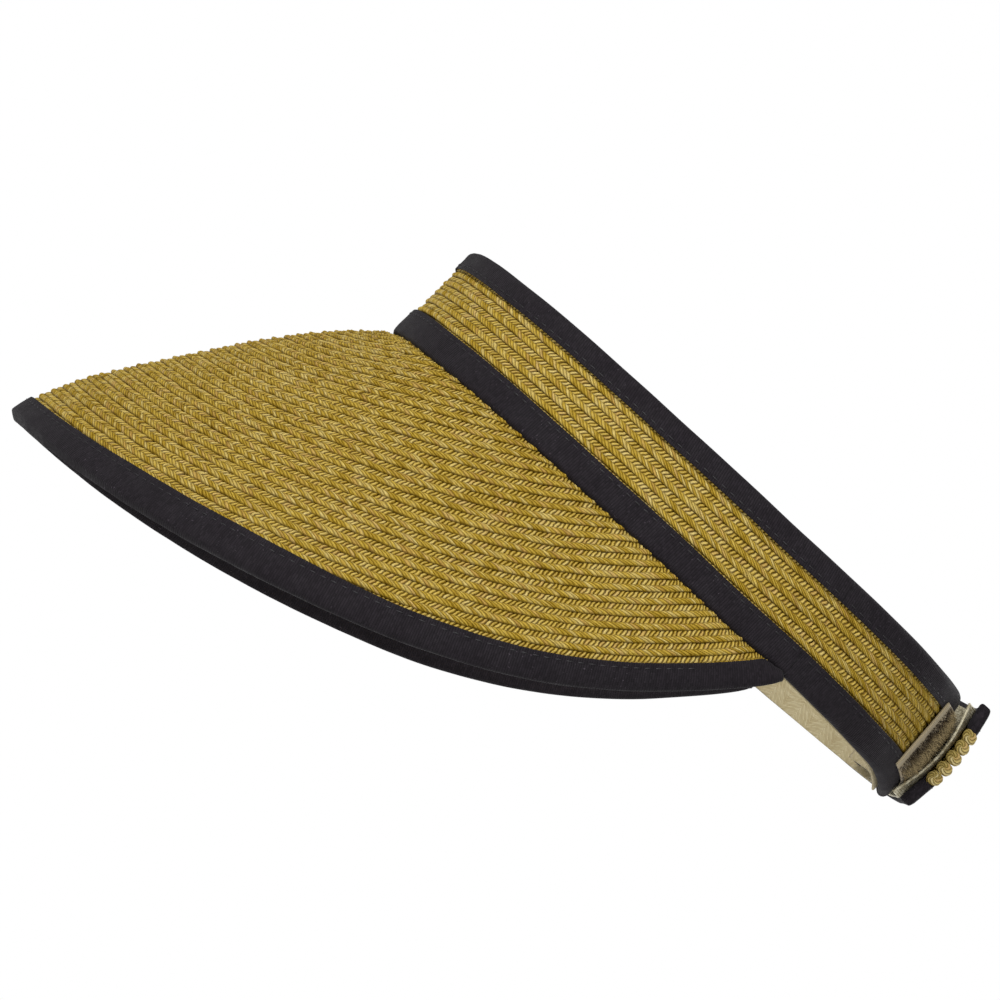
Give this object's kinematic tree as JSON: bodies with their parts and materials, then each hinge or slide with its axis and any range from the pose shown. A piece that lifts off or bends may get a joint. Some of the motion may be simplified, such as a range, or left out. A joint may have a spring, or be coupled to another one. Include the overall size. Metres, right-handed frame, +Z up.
{
  "type": "sun visor",
  "caption": "Braided straw sun visor with a wide curved peak, dark bound edges, an open crown band lined with a sweatband, and a hook-and-loop closure at the back.",
  "frame": {"origin": "centre of the head opening, in the plane of the crown band's lower edge", "axes": "+Z up through the head opening along the head, -Y forward over the peak, +Y back to the closure, +X to the wearer's left"},
  "size_m": [0.2012, 0.2731, 0.1309],
  "materials": {
    "straw_braid": "satin",
    "binding_tape": "matte",
    "sweatband": "matte",
    "loop_tape": "matte",
    "hook_tape": "satin"
  },
  "bodies": {
    "visor": {"brim_braid_row_01": "straw_braid", "brim_braid_row_02": "straw_braid", "brim_braid_row_03": "straw_braid", "brim_braid_row_04": "straw_braid", "brim_braid_row_05": "straw_braid", "brim_braid_row_06": "straw_braid", "brim_braid_row_07": "straw_braid", "brim_braid_row_08": "straw_braid", "brim_braid_row_09": "straw_braid", "brim_braid_row_10": "straw_braid", "brim_braid_row_11": "straw_braid", "brim_braid_row_12": "straw_braid", "brim_braid_row_13": "straw_braid", "brim_braid_row_14": "straw_braid", "brim_braid_row_15": "straw_braid", "brim_braid_row_16": "straw_braid", "brim_braid_row_17": "straw_braid", "brim_braid_row_18": "straw_braid", "brim_braid_row_19": "straw_braid", "brim_braid_row_20": "straw_braid", "brim_braid_row_21": "straw_braid", "brim_braid_row_22": "straw_braid", "brim_braid_row_23": "straw_braid", "brim_braid_row_24": "straw_braid", "brim_braid_row_25": "straw_braid", "brim_braid_row_26": "straw_braid", "brim_braid_row_27": "straw_braid", "brim_braid_row_28": "straw_braid", "brim_braid_row_29": "straw_braid", "brim_braid_row_30": "straw_braid", "brim_edge_binding": "binding_tape", "front_braid_row_1": "straw_braid", "front_braid_row_2": "straw_braid", "front_braid_row_3": "straw_braid", "front_braid_row_4": "straw_braid", "front_braid_row_5": "straw_braid", "front_braid_row_6": "straw_braid", "front_braid_row_7": "straw_braid", "front_braid_row_8": "straw_braid", "front_bottom_binding": "binding_tape", "front_top_binding": "binding_tape", "front_sweatband": "sweatband"},
    "left_end": {"left_end_braids": "straw_braid", "left_bottom_binding": "binding_tape", "left_top_binding": "binding_tape", "left_sweatband": "sweatband", "loop_tape": "loop_tape"},
    "right_end": {"right_end_braids": "straw_braid", "right_bottom_binding": "binding_tape", "right_top_binding": "binding_tape", "right_sweatband": "sweatband", "hook_tape": "hook_tape"}
  },
  "joints": [
    {"name": "right_end_opening", "type": "hinge", "parent": "visor", "child": "right_end", "pos_m": [-0.06926, 0.05154, 0], "axis": [0, 0, 1], "range_deg": [0, 40]},
    {"name": "left_end_tightening", "type": "hinge", "parent": "visor", "child": "left_end", "pos_m": [0.06095, 0.04566, 0], "axis": [0, 0, 1], "range_deg": [0, 10]}
  ]
}
